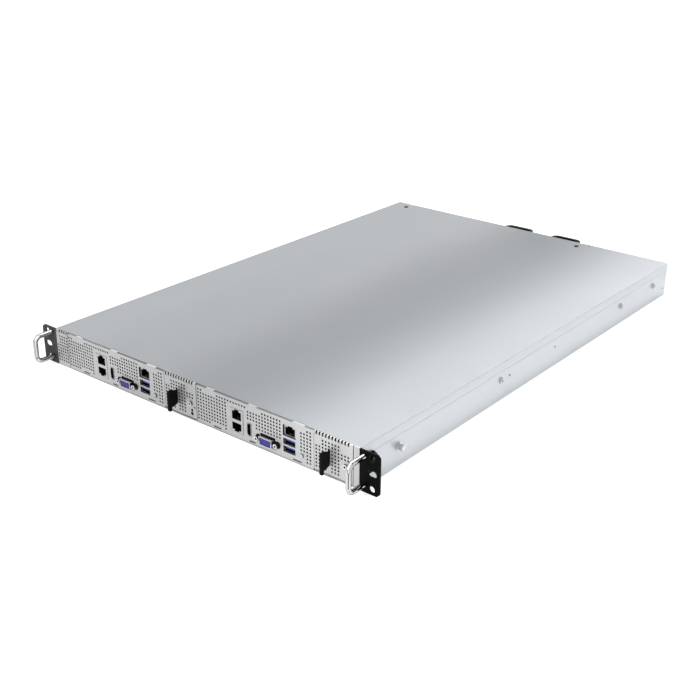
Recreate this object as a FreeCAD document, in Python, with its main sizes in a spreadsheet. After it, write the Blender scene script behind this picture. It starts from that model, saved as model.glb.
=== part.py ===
import FreeCAD, Part
import math
import os
import re
import Sketcher
from FreeCAD import Placement, Rotation, Vector

# A rack server, one unit high, with two sleds side by side.
# X runs to the right seen from the front, Y to the back, Z up.
# The origin is the centre of the rack hole pattern, on the back face of the ears.
# Heights in the formulas count from the underside of the chassis.

SIZES = {
    # Case
    "chassis_width": 438.0,
    "chassis_height": 43.7,
    "chassis_depth": 650.0,
    "base_sheet": 1.2,
    "lid_sheet": 1.0,
    "face_sheet": 1.2,
    "lid_setback": 2.0,
    "seam_height": 33.4,
    "seam_gap": 0.2,
    "seat_gap": 0.3,
    "slide_gap": 0.4,
    "flange_depth": 8.0,
    # Rack ears
    "rack_width": 482.6,
    "ear_sheet": 2.0,
    "face_recess": 0.4,
    "ear_height": 43.2,
    "ear_corner": 3.0,
    "ear_side_depth": 19.5,
    "ear_side_low": 13.2,
    "ear_side_high": 34.4,
    "rack_hole_spacing": 465.1,
    "rack_hole_pitch": 15.875,
    "rack_slot_length": 10.5,
    "rack_slot_width": 6.8,
    "grip_radius": 2.8,
    "grip_reach": 23.7,
    "grip_bend": 7.0,
    "grip_rise": 23.5,
    "grip_spacing": 29.5,
    "grip_place": 224.3,
    # Perforation
    "hole_pitch": 3.84,
    "hole_rise": 3.64,
    "hole_width": 1.95,
    "top_slot_width": 1.9,
    "top_slot_low": 40.3,
    # Sleds
    "filler_width": 21.5,
    "sled_pitch": 204.0,
    "sled_depth": 448.0,
    "face_width": 157.0,
    "face_low": 1.6,
    "face_high": 42.3,
    "bracket_low": 3.2,
    "tray_sheet": 1.0,
    "tray_high": 27.0,
    "guide_sheet": 1.0,
    "guide_high": 7.0,
    "board_top": 7.2,
    "board_sheet": 1.6,
    "board_front": 3.0,
    "board_back": 372.0,
    "tab_rise": 1.2,
    "tab_depth": 3.2,
    # Sockets in the face of a sled
    "jack_width": 12.2,
    "lan_stack_place": 56.7,
    "lan_stack_width": 17.6,
    "lan_stack_high": 33.1,
    "lan_stack_depth": 24.0,
    "video_place": 73.3,
    "video_low": 8.9,
    "video_high": 23.0,
    "video_width": 5.8,
    "vga_place": 98.2,
    "vga_rise": 11.6,
    "vga_screw_spacing": 25.0,
    "usb_place": 126.0,
    "usb_width": 13.2,
    "usb_height": 5.2,
    "usb_low": 8.6,
    "usb_high": 16.9,
    "lan_port_low": 25.3,
    "lan_port_high": 37.2,
    "port_wall": 0.5,
    "button_place": 141.3,
    "button_rise": 10.6,
    "button_radius": 2.5,
    "button_travel": 1.0,
    "fit_gap": 0.08,
    # Latch lever
    "lever_place": 175.2,
    "lever_sheet": 2.0,
    "lever_reach": 12.8,
    "lever_high": 30.4,
    "lever_pivot_rise": 25.0,
    "lever_pivot_depth": 5.0,
    "lever_pin_radius": 1.5,
    # Fans
    "fan_size": 38.0,
    "fan_depth": 28.0,
    "fan_hub_radius": 9.0,
    "rotor_depth": 18.0,
    "shaft_radius": 1.5,
    # Power supplies
    "supply_width": 73.5,
    "supply_height": 39.5,
    "supply_depth": 185.0,
    "supply_sheet": 0.8,
    "supply_pitch": 76.0,
    "supply_first": -19.0,
    "strap_span": 44.0,
    "strap_reach": 29.0,
    "strap_sheet": 2.6,
    "inlet_width": 27.2,
    "inlet_height": 19.6,
    # Screws
    "screw_radius": 1.5,
    "stud_radius": 3.0,
    "stud_length": 6.5,
}

doc = FreeCAD.newDocument("rack_server")
sheet = doc.addObject("Spreadsheet::Sheet", "sizes")
for row, (alias, value) in enumerate(SIZES.items(), start=1):
    sheet.set(f"A{row}", alias)
    sheet.set(f"B{row}", str(value))
    sheet.setAlias(f"B{row}", alias)
doc.recompute()

# Places that many pieces share, as formulas of the sizes
FACE = "(face_recess - ear_sheet)"
FACE_BACK = f"({FACE} + face_sheet)"
REAR = f"({FACE} + chassis_depth)"
HALF = "(chassis_width / 2)"
LID_UNDER = "(chassis_height - lid_sheet)"
LID_FRONT = f"({FACE} + lid_setback)"
EAR_INNER = f"({HALF} - base_sheet + seat_gap / 2)"
TRAY_LOW = "(base_sheet + seat_gap)"
TRAY_TOP = f"({TRAY_LOW} + tray_sheet)"
BOARD_LOW = "(board_top - board_sheet)"
SHELL_FRONT = f"({FACE} - 0.3)"
FIRST_SLED = f"(filler_width - {HALF})"
BAY_SIDE = "(supply_width / 2 + slide_gap)"
SUPPLY_FRONT = f"({REAR} - supply_depth)"
TAB_PLACES = ((14.5, 25.5), (72.5, 83.5), (130.0, 144.5))
AXES = {"x": Vector(1, 0, 0), "y": Vector(0, 1, 0), "z": Vector(0, 0, 1)}
finished = []


def cells(formula):
    """Turn the size names in a formula into cells of the sheet."""
    def cell(match):
        word = match.group()
        return f"sizes.{word}" if word in SIZES else word
    return re.sub(r"[a-z_]+", cell, str(formula))


def number(formula):
    """The value of a formula in millimetres."""
    value = sheet.evalExpression(cells(formula))
    return float(getattr(value, "Value", value))


def bind(thing, prop, formula):
    thing.setExpression(prop, cells(formula))


# Solids made from primitives

def block(x, y, z):
    """A box between two formulas on each axis."""
    box = doc.addObject("Part::Box", "block")
    for prop, axis, (low, high) in (("Length", "x", x), ("Width", "y", y), ("Height", "z", z)):
        bind(box, prop, f"({high}) - ({low})")
        bind(box, f"Placement.Base.{axis}", low)
    return box


def rod(axis, base, radius, length, kind="Part::Cylinder"):
    """A cylinder along an axis, starting at base (three formulas)."""
    turn = {"x": Rotation(AXES["y"], 90), "y": Rotation(AXES["x"], -90), "z": Rotation()}
    cylinder = doc.addObject(kind, "rod")
    cylinder.Placement = Placement(Vector(), turn[axis])
    bind(cylinder, "Radius", radius)
    bind(cylinder, "Height", length)
    for place, formula in zip("xyz", base):
        bind(cylinder, f"Placement.Base.{place}", formula)
    return cylinder


def hexagon(axis, base, radius, length):
    """A hexagonal prism along an axis."""
    turn = {"x": Rotation(AXES["y"], 90), "y": Rotation(AXES["x"], -90), "z": Rotation()}
    prism = doc.addObject("Part::Prism", "hexagon")
    prism.Polygon = 6
    prism.Placement = Placement(Vector(), turn[axis])
    bind(prism, "Circumradius", radius)
    bind(prism, "Height", length)
    for place, formula in zip("xyz", base):
        bind(prism, f"Placement.Base.{place}", formula)
    return prism


def join(pieces):
    """One solid from pieces that touch or overlap."""
    if len(pieces) == 1:
        return pieces[0]
    fused = doc.addObject("Part::MultiFuse", "join")
    fused.Shapes = pieces
    fused.Refine = True
    return fused


def group(pieces):
    """Separate solids that share one sub-part."""
    compound = doc.addObject("Part::Compound", "group")
    compound.Links = pieces
    return compound


def carve(base, tools):
    """Take the tools away from the base."""
    cut = doc.addObject("Part::Cut", "carve")
    cut.Base = base
    cut.Tool = join(tools)
    return cut


def finish(thing, label, x="0", y="0"):
    """Name a sub-part and set it in its place in the server."""
    if thing.TypeId in ("Part::Box", "Part::Cylinder"):
        thing = group([thing])
    thing.Label = label
    bind(thing, "Placement.Base.x", x)
    bind(thing, "Placement.Base.y", y)
    bind(thing, "Placement.Base.z", "-chassis_height / 2")
    finished.append(thing)
    return thing


# Solids made from sketches

PLANES = {"z": "XY_Plane", "y": "XZ_Plane", "x": "YZ_Plane"}


def new_body():
    return doc.addObject("PartDesign::Body", "body")


def new_sketch(body, normal, place):
    """A sketch square to an axis; place is its formula along that axis."""
    sketch = body.newObject("Sketcher::SketchObject", "sketch")
    plane = [item for item in body.Origin.OriginFeatures if item.Role == PLANES[normal]]
    sketch.AttachmentSupport = [(plane[0], "")]
    sketch.MapMode = "FlatFace"
    sign = "-" if normal == "y" else ""
    bind(sketch, "AttachmentOffset.Base.z", f"{sign}({place})")
    return sketch


def polygon(sketch, corners):
    """A closed outline whose corners are pairs of formulas."""
    points = [Vector(number(u), number(v), 0) for u, v in corners]
    first = sketch.GeometryCount
    count = len(points)
    for index in range(count):
        sketch.addGeometry(Part.LineSegment(points[index], points[(index + 1) % count]))
    for index in range(count):
        following = first + (index + 1) % count
        sketch.addConstraint(Sketcher.Constraint("Coincident", first + index, 2, following, 1))
    for index, (u, v) in enumerate(corners):
        for kind, formula, value in (("DistanceX", u, points[index].x), ("DistanceY", v, points[index].y)):
            item = sketch.addConstraint(Sketcher.Constraint(kind, -1, 1, first + index, 1, value))
            bind(sketch, f"Constraints[{item}]", formula)


def rectangle(sketch, u, v):
    polygon(sketch, ((u[0], v[0]), (u[1], v[0]), (u[1], v[1]), (u[0], v[1])))


def circle(sketch, u, v, radius):
    """A circle whose centre and radius are formulas."""
    centre = Vector(number(u), number(v), 0)
    item = sketch.addGeometry(Part.Circle(centre, AXES["z"], number(radius)))
    for kind, formula, value in (("DistanceX", u, centre.x), ("DistanceY", v, centre.y)):
        place = sketch.addConstraint(Sketcher.Constraint(kind, -1, 1, item, 3, value))
        bind(sketch, f"Constraints[{place}]", formula)
    size = sketch.addConstraint(Sketcher.Constraint("Radius", item, number(radius)))
    bind(sketch, f"Constraints[{size}]", radius)


def free_outline(sketch, edges):
    """A closed outline of ready edges, such as arcs worked out from the sizes."""
    sketch.addGeometry(edges, False)


def slot_edges(u, v, length, width):
    """The four edges of a level slot with round ends, centred at u, v."""
    radius = width / 2
    reach = length / 2 - radius
    left = Part.ArcOfCircle(
        Part.Circle(Vector(u - reach, v, 0), AXES["z"], radius), math.pi / 2, 3 * math.pi / 2)
    right = Part.ArcOfCircle(
        Part.Circle(Vector(u + reach, v, 0), AXES["z"], radius), -math.pi / 2, math.pi / 2)
    upper = Part.LineSegment(Vector(u - reach, v + radius, 0), Vector(u + reach, v + radius, 0))
    lower = Part.LineSegment(Vector(u - reach, v - radius, 0), Vector(u + reach, v - radius, 0))
    return [left, lower, right, upper]


def ring_edges(corners):
    """The straight edges of a closed outline through corners in sketch coordinates."""
    points = [Vector(u, v, 0) for u, v in corners]
    return [Part.LineSegment(points[index - 1], points[index]) for index in range(len(points))]


def punch(thing, centres, corners, front, depth):
    """Punch a straight hole with the same corners round each centre (x, z), from front along +Y.

    There are hundreds of holes, so the cutter is one ready shape made from the sizes.
    """
    prisms = []
    for x, z in centres:
        points = [Vector(x + u, number(front) - 1, z + v) for u, v in corners]
        outline = Part.makePolygon(points + points[:1])
        prisms.append(Part.Face(outline).extrude(Vector(0, number(depth) + 1, 0)))
    cutter = doc.addObject("Part::Feature", "holes")
    cutter.Shape = Part.makeCompound(prisms)
    return carve(thing, [cutter])


def grid_centres(left, top, blocks):
    """Centres on the perforation grid; a block is first column, columns, first row, rows."""
    pitch = number("hole_pitch")
    rise = number("hole_rise")
    centres = []
    for first_column, columns, first_row, rows in blocks:
        for column in range(first_column, first_column + columns):
            for row in range(first_row, first_row + rows):
                centres.append((left + pitch * column, top - rise * row))
    return centres


def perforate(body, left, top, blocks):
    """Punch the square holes of the grid through a front sheet."""
    half = number("hole_width") / 2
    square = ((-half, -half), (half, -half), (half, half), (-half, half))
    return punch(body, grid_centres(left, top, blocks), square, FACE, "face_sheet")


def add(body, sketch, length):
    """Raise a sketch by a length along +X, +Y or +Z."""
    pad = body.newObject("PartDesign::Pad", "pad")
    pad.Profile = sketch
    bind(pad, "Length", length)
    pad.Reversed = sketch.AttachmentSupport[0][0].Role == "XZ_Plane"
    sketch.Visibility = False
    return pad


def remove(body, sketch, length):
    """Cut a sketch by a length along +X, +Y or +Z, and see that it takes something away."""
    doc.recompute()
    before = body.Shape.Volume
    pocket = body.newObject("PartDesign::Pocket", "pocket")
    pocket.Profile = sketch
    bind(pocket, "Length", length)
    pocket.Reversed = sketch.AttachmentSupport[0][0].Role != "XZ_Plane"
    doc.recompute()
    if body.Shape.Volume > before - 1e-6:
        raise ValueError(f"a pocket of {body.Name} cuts nothing")
    return pocket


def add_block(body, x, y, z):
    """Raise a level box on a body."""
    sketch = new_sketch(body, "z", z[0])
    rectangle(sketch, x, y)
    return add(body, sketch, f"({z[1]}) - ({z[0]})")


# Chassis

def make_chassis_base():
    """Floor, side walls, sled guides and power supply bay in one welded sheet piece."""
    inner_low = f"({HALF} - lid_sheet - seam_gap - base_sheet)"
    inner_high = f"({HALF} - lid_sheet - seam_gap)"
    wall_top = f"({LID_UNDER} - seat_gap)"
    pieces = [
        block((f"-{HALF}", HALF), ("seat_gap / 2", REAR), ("0", "base_sheet")),
        block((f"seat_gap / 2 - {EAR_INNER}", f"{EAR_INNER} - seat_gap / 2"),
              (FACE, "seat_gap"), ("0", "base_sheet")),
    ]
    for side in ("-", ""):
        pieces.append(span_block(side, (f"{HALF} - base_sheet", HALF),
                                 ("seat_gap / 2", REAR), ("0", "seam_height")))
        pieces.append(span_block(side, (inner_low, HALF), ("seat_gap / 2", f"{REAR} - base_sheet"),
                                 ("seam_height - base_sheet", "seam_height")))
        pieces.append(span_block(side, (inner_low, inner_high),
                                 (f"{FACE_BACK} + flange_depth + seat_gap", f"{REAR} - base_sheet"),
                                 ("seam_height - base_sheet", wall_top)))
    for index in range(3):
        guide = f"{FIRST_SLED} + {index} * sled_pitch"
        pieces.append(block((f"{guide} - guide_sheet / 2", f"{guide} + guide_sheet / 2"),
                            (f"{FACE_BACK} + 4", "sled_depth"), ("0", "guide_high")))
    # The strip right of the second sled, bent back under the front edge of the lid
    strip = (f"{FIRST_SLED} + 2 * sled_pitch + slide_gap", f"{EAR_INNER} - seat_gap / 2")
    pieces.append(block(strip, (FACE, FACE_BACK), ("0", "chassis_height")))
    pieces.append(block(strip, (FACE, f"{LID_FRONT} - seat_gap / 2"), (LID_UNDER, "chassis_height")))
    bay_back = f"{REAR} - base_sheet"
    bay_top = "base_sheet + supply_height + seat_gap"
    for index, shift in enumerate((f"-{BAY_SIDE} - base_sheet", "supply_pitch / 2 - base_sheet / 2",
                                   f"supply_pitch + {BAY_SIDE}")):
        low = f"supply_first + {shift}"
        wall = block((low, f"{low} + base_sheet"), (f"{SUPPLY_FRONT} - 2", bay_back), ("0", bay_top))
        pieces.append(wall)
    for shift in ("-186", "-70", "96", "190"):
        pieces.append(block((shift, f"{shift} + 12"), ("sled_depth + 9", "sled_depth + 10.2"),
                            ("0", "14")))
    tools = []
    for side in ("-", ""):
        for place, rise, radius in SIDE_HOLES:
            tools.append(side_rod(side, place, rise, radius, f"{HALF} - 3", "5"))
    latch_y = (f"{REAR} - 13", f"{REAR} - 4")
    for low in (f"supply_first - {BAY_SIDE} - base_sheet - 0.5",
                "supply_first + supply_pitch / 2 - base_sheet / 2 - 0.5"):
        tools.append(block((low, f"{low} + base_sheet + 1"), latch_y, ("28.5", "36.5")))
    return finish(carve(join(pieces), tools), "chassis_base")


SCREW_PLACES = (238.4, 516.0, 607.7)
SCREW_RISE = 23.4
STUD_PLACE = 56.0
STUD_RISE = 21.6
EAR_SCREW_PLACE = 15.0
EAR_SCREW_RISES = (17.4, 30.2)
SIDE_HOLES = (
    [(str(place), str(SCREW_RISE), "screw_radius + fit_gap") for place in SCREW_PLACES]
    + [(str(STUD_PLACE), str(STUD_RISE), "screw_radius + fit_gap")]
    + [(str(EAR_SCREW_PLACE), str(rise), "screw_radius + fit_gap") for rise in EAR_SCREW_RISES]
    + [("256", "23.4", "1.3"), ("353.7", "23.3", "1.3"), ("641", "10.5", "1.3")]
)


def span_block(side, x, y, z):
    """A box on the right of the server, or its mirror on the left."""
    if side:
        return block((f"-({x[1]})", f"-({x[0]})"), y, z)
    return block(x, y, z)


def side_rod(side, place, rise, radius, start, length):
    """A rod along X at a side wall, from start outwards."""
    low = f"-({start}) - ({length})" if side else start
    return rod("x", (low, place, rise), radius, length)


def make_rear_panel():
    """Back wall with six-sided vents, a window for the power supplies and two tongues for the lid."""
    body = new_body()
    wall = new_sketch(body, "y", f"{REAR} - base_sheet")
    edge = f"{HALF} - base_sheet - seat_gap"
    low = "base_sheet"
    top = f"{LID_UNDER} - seat_gap"
    window_low = f"supply_first - {BAY_SIDE}"
    window_high = f"supply_first + supply_pitch + {BAY_SIDE}"
    window_top = f"{TRAY_LOW} + supply_height + 0.2"
    polygon(wall, (
        (f"-({edge})", low), (window_low, low), (window_low, window_top), (window_high, window_top),
        (window_high, low), (edge, low), (edge, top), (f"-({edge})", top),
    ))
    pitch = 6.2
    radius = 2.9
    vents = []
    for first, last in ((-number(HALF) + 14, number(window_low) - 9),
                        (number(window_high) + 16, number(HALF) - 14)):
        columns = int((last - first) / pitch) + 1
        for column in range(columns):
            for row in range(5):
                u = first + (column + row % 2 / 2) * pitch
                v = 10.5 + row * pitch * math.sin(math.pi / 3)
                vents.append((u, v))
    add(body, wall, "base_sheet")
    for place in COVER_SCREWS:
        tongue = new_sketch(body, "z", f"{LID_UNDER} - seat_gap - base_sheet / 2")
        rectangle(tongue, (f"{place} - 9", f"{place} + 9"), (f"{REAR} - 22", REAR))
        circle(tongue, place, COVER_SCREW_Y, "screw_radius + fit_gap")
        add(body, tongue, "base_sheet / 2")
    turns = [math.pi * (2 * index + 1) / 6 for index in range(6)]
    corners = [(radius * math.cos(turn), radius * math.sin(turn)) for turn in turns]
    wall = punch(body, vents, corners, f"{REAR} - base_sheet", "base_sheet")
    return finish(wall, "rear_panel")


COVER_SCREWS = ("-195", "93")
COVER_SCREW_Y = f"({REAR} - 16)"


def make_top_cover():
    """Lid with a turned-down flange on each side and notches for the tabs of the sleds."""
    plate = block((f"-{HALF}", HALF), (LID_FRONT, REAR), (LID_UNDER, "chassis_height"))
    pieces = [plate]
    for side in ("-", ""):
        pieces.append(span_block(side, (f"{HALF} - lid_sheet", HALF), ("seat_gap", REAR),
                                 ("seam_height + seam_gap", "chassis_height")))
    shell = join(pieces)
    tools = []
    for sled in range(2):
        for low, high in TAB_PLACES:
            start = f"{FIRST_SLED} + {sled} * sled_pitch"
            tools.append(block((f"{start} + {low} - slide_gap", f"{start} + {high} + slide_gap"),
                               (f"{LID_FRONT} - 1", f"{FACE} + tab_depth + slide_gap"),
                               ("40", "chassis_height + 1")))
    for place in COVER_SCREWS:
        tools.append(rod("z", (place, COVER_SCREW_Y, f"{LID_UNDER} - 1"), "screw_radius + fit_gap",
                         "lid_sheet + 2"))
        tools.append(rod("z", (place, REAR, f"{LID_UNDER} - 1"), "2", "lid_sheet + 2"))
    tools.append(rod("z", ("106.5", f"{REAR} - 5", f"{LID_UNDER} - 1"), "1.5", "lid_sheet + 2"))
    cut = carve(shell, tools)
    doc.recompute()
    rounded = doc.addObject("Part::Fillet", "rounded")
    rounded.Base = cut
    top = number("chassis_height")
    half = number(HALF)
    edges = []
    for index, edge in enumerate(cut.Shape.Edges, start=1):
        box = edge.BoundBox
        at_side = abs(abs(box.XMin) - half) < 1e-6 and box.XLength < 1e-6
        if at_side and box.ZMin > top - 1e-6 and box.YLength > 100:
            edges.append((index, number("lid_sheet * 0.9"), number("lid_sheet * 0.9")))
    rounded.Edges = edges
    return finish(rounded, "top_cover")


def make_cover_screws():
    screws = []
    for place in COVER_SCREWS:
        head = rod("z", (place, COVER_SCREW_Y, "chassis_height"), "2 * screw_radius", "0.9")
        shank = rod("z", (place, COVER_SCREW_Y, "chassis_height - 2.4"), "screw_radius", "2.4")
        screws.append(join([head, shank]))
    return finish(group(screws), "cover_screws")


def cross_head(side, place, rise, head_radius, head_height, start, cross):
    """A pan head screw through a side wall, with a cross recess."""
    shank = side_rod(side, place, rise, "screw_radius", f"{start} - 4", "4.5")
    head = side_rod(side, place, rise, head_radius, start, head_height)
    recess = []
    outer = f"{start} + {head_height} - 0.7"
    for half_y, half_z in ((cross, "0.45"), ("0.45", cross)):
        recess.append(span_block(side, (outer, f"{outer} + 2"),
                                 (f"{place} - {half_y}", f"{place} + {half_y}"),
                                 (f"{rise} - {half_z}", f"{rise} + {half_z}")))
    return carve(join([shank, head]), recess)


def make_side_screws():
    """Cross-head screws that hold the inner brackets to the side walls."""
    screws = []
    for side in ("-", ""):
        for place in SCREW_PLACES:
            screws.append(cross_head(side, str(place), str(SCREW_RISE), "2 * screw_radius + 0.2", "1.9", HALF,
                                     "1.7"))
    return finish(group(screws), "side_screws")


def make_rail_studs():
    """Shoulder studs that the slide rails of a rack hook onto."""
    studs = []
    for side in ("-", ""):
        place = str(STUD_PLACE)
        rise = str(STUD_RISE)
        pieces = [
            side_rod(side, place, rise, "screw_radius", f"{HALF} - 3", "4"),
            side_rod(side, place, rise, "stud_radius + 1.6", HALF, "1.2"),
            side_rod(side, place, rise, "stud_radius", HALF, "stud_length"),
        ]
        studs.append(join(pieces))
    return finish(group(studs), "rail_studs")


# Rack ears

def make_ear(side, label):
    """L-shaped ear with chamfered corners: a level slot between two round holes, and a side flange."""
    sign = -1 if side else 1
    low = f"(chassis_height - ear_height) / 2"
    high = f"(chassis_height + ear_height) / 2"
    body = new_body()
    front = new_sketch(body, "y", "-ear_sheet")

    def across(formula):
        return f"-({formula})" if side else formula

    outer = "rack_width / 2"
    polygon(front, (
        (across(EAR_INNER), low),
        (across(f"{outer} - ear_corner"), low),
        (across(outer), f"{low} + ear_corner"),
        (across(outer), f"{high} - ear_corner"),
        (across(f"{outer} - ear_corner"), high),
        (across(EAR_INNER), high),
    ))
    middle = number("chassis_height / 2")
    centre = sign * number("rack_hole_spacing / 2")
    free_outline(front, slot_edges(centre, middle, number("rack_slot_length"), number("rack_slot_width")))
    for step in (-1, 1):
        circle(front, across("rack_hole_spacing / 2"), f"chassis_height / 2 + {step} * rack_hole_pitch",
               "rack_slot_width / 2")
        circle(front, across("grip_place"), f"grip_rise + {step} * grip_spacing / 2",
               "screw_radius + fit_gap")
    add(body, front, "ear_sheet")
    flange = new_sketch(body, "x", across(f"{HALF} + ear_sheet") if side else HALF)
    polygon(flange, (
        ("-ear_sheet / 2", "ear_side_low"),
        ("ear_side_depth - ear_corner", "ear_side_low"),
        ("ear_side_depth", "ear_side_low + ear_corner"),
        ("ear_side_depth", "ear_side_high - ear_corner"),
        ("ear_side_depth - ear_corner", "ear_side_high"),
        ("-ear_sheet / 2", "ear_side_high"),
    ))
    add(body, flange, "ear_sheet")
    holes = new_sketch(body, "x", across(f"{HALF} + ear_sheet / 2"))
    for rise in EAR_SCREW_RISES:
        circle(holes, str(EAR_SCREW_PLACE), str(rise), "screw_radius + fit_gap")
    doc.recompute()
    pocket = body.newObject("PartDesign::Pocket", "pocket")
    pocket.Profile = holes
    pocket.Midplane = True
    bind(pocket, "Length", "ear_sheet + 2")
    return finish(body, label)


def sorted_pair(first, second):
    """Two formulas in rising order."""
    return (first, second) if number(first) < number(second) else (second, first)


def make_ear_handle(side, label):
    """Round bar bent into a grip, standing out of an ear."""
    place = "-grip_place" if side else "grip_place"
    body = new_body()
    path = new_sketch(body, "x", place)
    root = -number("ear_sheet")
    front = root - number("grip_reach")
    bend = number("grip_bend")
    low = number("grip_rise - grip_spacing / 2")
    high = number("grip_rise + grip_spacing / 2")
    lower = Part.ArcOfCircle(
        Part.Circle(Vector(front + bend, low + bend, 0), AXES["z"], bend), math.pi, 3 * math.pi / 2)
    upper = Part.ArcOfCircle(
        Part.Circle(Vector(front + bend, high - bend, 0), AXES["z"], bend), math.pi / 2, math.pi)
    free_outline(path, [
        Part.LineSegment(Vector(root, high, 0), Vector(front + bend, high, 0)),
        upper,
        Part.LineSegment(Vector(front, high - bend, 0), Vector(front, low + bend, 0)),
        lower,
        Part.LineSegment(Vector(front + bend, low, 0), Vector(root, low, 0)),
    ])
    section = new_sketch(body, "y", "-ear_sheet")
    circle(section, place, "grip_rise + grip_spacing / 2", "grip_radius")
    pipe = body.newObject("PartDesign::AdditivePipe", "pipe")
    pipe.Profile = section
    pipe.Spine = path
    threads = new_sketch(body, "y", "-ear_sheet - 6")
    for step in (-1, 1):
        circle(threads, place, f"grip_rise + {step} * grip_spacing / 2", "screw_radius + fit_gap")
    remove(body, threads, "7")
    return finish(body, label)


def make_ear_screws():
    """Black screws of the ears: two in each side flange and two behind each grip."""
    screws = []
    for side in ("-", ""):
        for rise in EAR_SCREW_RISES:
            screws.append(cross_head(side, str(EAR_SCREW_PLACE), str(rise), "3.4", "2.2",
                                     f"({HALF} + ear_sheet)", "1.8"))
        for step in (-1, 1):
            centre = (f"{side}grip_place", "0", f"grip_rise + {step} * grip_spacing / 2")
            head = rod("y", centre, "screw_radius + 1", "2")
            base = (centre[0], "-ear_sheet - 5", centre[2])
            shank = rod("y", base, "screw_radius", "ear_sheet + 6")
            screws.append(join([head, shank]))
    return finish(group(screws), "ear_screws")


# Perforated front sheets

def top_slots(body, first, count):
    """Slots that run over the bend at the top of a front sheet."""
    pitch = number("hole_pitch")
    half = number("top_slot_width") / 2
    low = number("top_slot_low")
    high = number("chassis_height") + 1
    sketch = new_sketch(body, "y", f"{FACE} - 1")
    for index in range(count):
        centre = first + index * pitch
        free_outline(sketch, ring_edges(((centre - half, low), (centre + half, low),
                                         (centre + half, high), (centre - half, high))))
    remove(body, sketch, "lid_setback + 1 - seat_gap")


def top_bend(body, x):
    """The ledge level with the lid and the flange under it."""
    add_block(body, x, (FACE, f"{LID_FRONT} - seat_gap / 2"), (f"{LID_UNDER} - 0.4", "chassis_height"))
    add_block(body, x, (FACE, f"{FACE_BACK} + flange_depth"),
              (f"{LID_UNDER} - seat_gap - face_sheet", f"{LID_UNDER} - seat_gap"))


def round_front_edge(body, height, radius):
    """Round the long top edge of a front sheet."""
    doc.recompute()
    tip = body.Tip
    front = number(FACE)
    names = []
    for index, edge in enumerate(tip.Shape.Edges, start=1):
        box = edge.BoundBox
        level = box.ZLength < 1e-6 and abs(box.ZMin - number(height)) < 1e-6
        if level and box.YLength < 1e-6 and abs(box.YMin - front) < 1e-6 and box.XLength > 5:
            names.append(f"Edge{index}")
    fillet = body.newObject("PartDesign::Fillet", "fillet")
    fillet.Base = (tip, names)
    bind(fillet, "Radius", radius)
    return fillet


def make_front_filler():
    """Perforated sheet between the left ear and the first sled."""
    body = new_body()
    left = f"seat_gap / 2 - {EAR_INNER}"
    right = f"{FIRST_SLED} - slide_gap"
    sketch = new_sketch(body, "y", FACE)
    rectangle(sketch, (left, right), ("base_sheet", "chassis_height"))
    first = -number(HALF) + 3.7
    add(body, sketch, "face_sheet")
    top_bend(body, (left, right))
    round_front_edge(body, "chassis_height", "face_sheet")
    top_slots(body, first + number("hole_pitch"), 4)
    plate = perforate(body, first, 36.1, ((1, 4, 0, 3), (0, 5, 3, 6)))
    return finish(plate, "front_filler")


# Sleds

def rectangle_cutouts(sketch, items):
    for u, v in items:
        rectangle(sketch, u, v)


def vga_window():
    """Window for the video socket: a rectangle with a round lobe for each jack screw."""
    x = number("vga_place")
    z = number("vga_rise")
    reach = number("vga_screw_spacing") / 2
    half_width = 9.8
    half_height = 6.1
    lobe = 3.9
    corner = math.sqrt(lobe ** 2 - (reach - half_width) ** 2)
    swing = math.asin(corner / lobe)
    edges = []
    for sign in (-1, 1):
        edge = x + sign * half_width
        centre = Vector(x + sign * reach, z, 0)
        arc = Part.Circle(centre, AXES["z"], lobe)
        if sign < 0:
            edges.append(Part.ArcOfCircle(arc, swing, 2 * math.pi - swing))
        else:
            edges.append(Part.ArcOfCircle(arc, math.pi + swing, 3 * math.pi - swing))
        edges.append(Part.LineSegment(Vector(edge, z + corner, 0), Vector(edge, z + half_height, 0)))
        edges.append(Part.LineSegment(Vector(edge, z - corner, 0), Vector(edge, z - half_height, 0)))
    for level in (z - half_height, z + half_height):
        edges.append(Part.LineSegment(Vector(x - half_width, level, 0), Vector(x + half_width, level, 0)))
    return edges


FACE_HOLES = (
    (0, 11, 1, 8), (0, 2, 0, 1), (7, 11, 0, 1), (0, 5, 9, 1), (10, 1, 9, 1), (18, 12, 1, 3),
    (21, 9, 4, 2), (23, 7, 0, 1), (36, 4, 1, 6), (38, 2, 0, 1), (38, 2, 7, 3),
)
BRACKET_HOLES = ((2, 6, 0, 2), (0, 4, 2, 7), (5, 6, 2, 2), (5, 3, 4, 5))
VIDEO_CHAMFER = 1.8


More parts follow.
